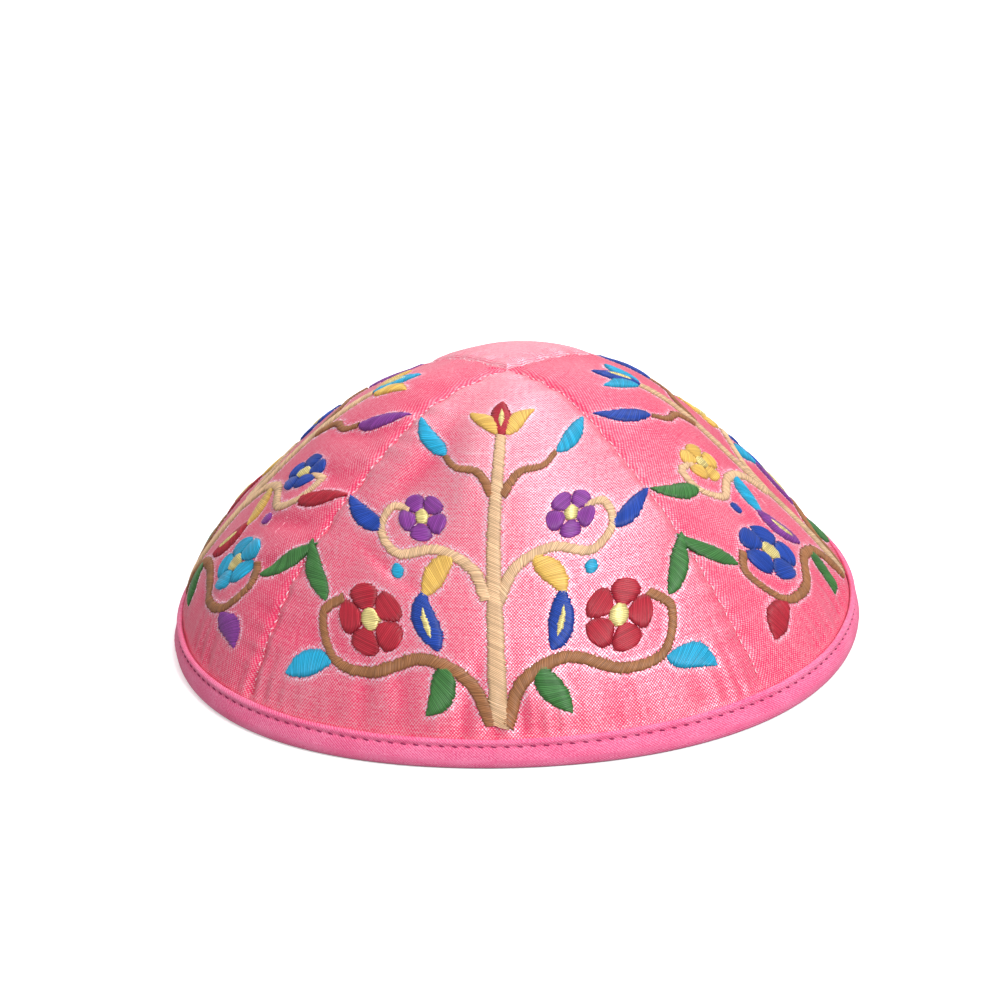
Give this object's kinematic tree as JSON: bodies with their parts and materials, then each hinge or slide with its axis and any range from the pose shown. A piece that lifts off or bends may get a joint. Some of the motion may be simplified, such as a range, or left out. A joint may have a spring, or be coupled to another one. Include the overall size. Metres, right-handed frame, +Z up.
{
  "type": "embroidered kippah",
  "caption": "Soft domed cloth cap of sewn crown panels with a folded binding round its open rim, worn on the crown of the head.",
  "frame": {"origin": "on the floor, under the middle of the cap, which rests on its binding", "axes": "+Z up through the point where the panels meet; -Y towards the front panel; +X towards the right panel"},
  "size_m": [0.165, 0.165, 0.0642],
  "materials": {
    "panel_front": "matte slubbed silk",
    "panel_right": "matte slubbed silk",
    "panel_back": "matte slubbed silk",
    "panel_left": "matte slubbed silk",
    "binding": "fine twill tape"
  },
  "bodies": {
    "root": {"panel_front": "panel_front", "panel_right": "panel_right", "panel_back": "panel_back", "panel_left": "panel_left", "binding": "binding"}
  },
  "joints": []
}
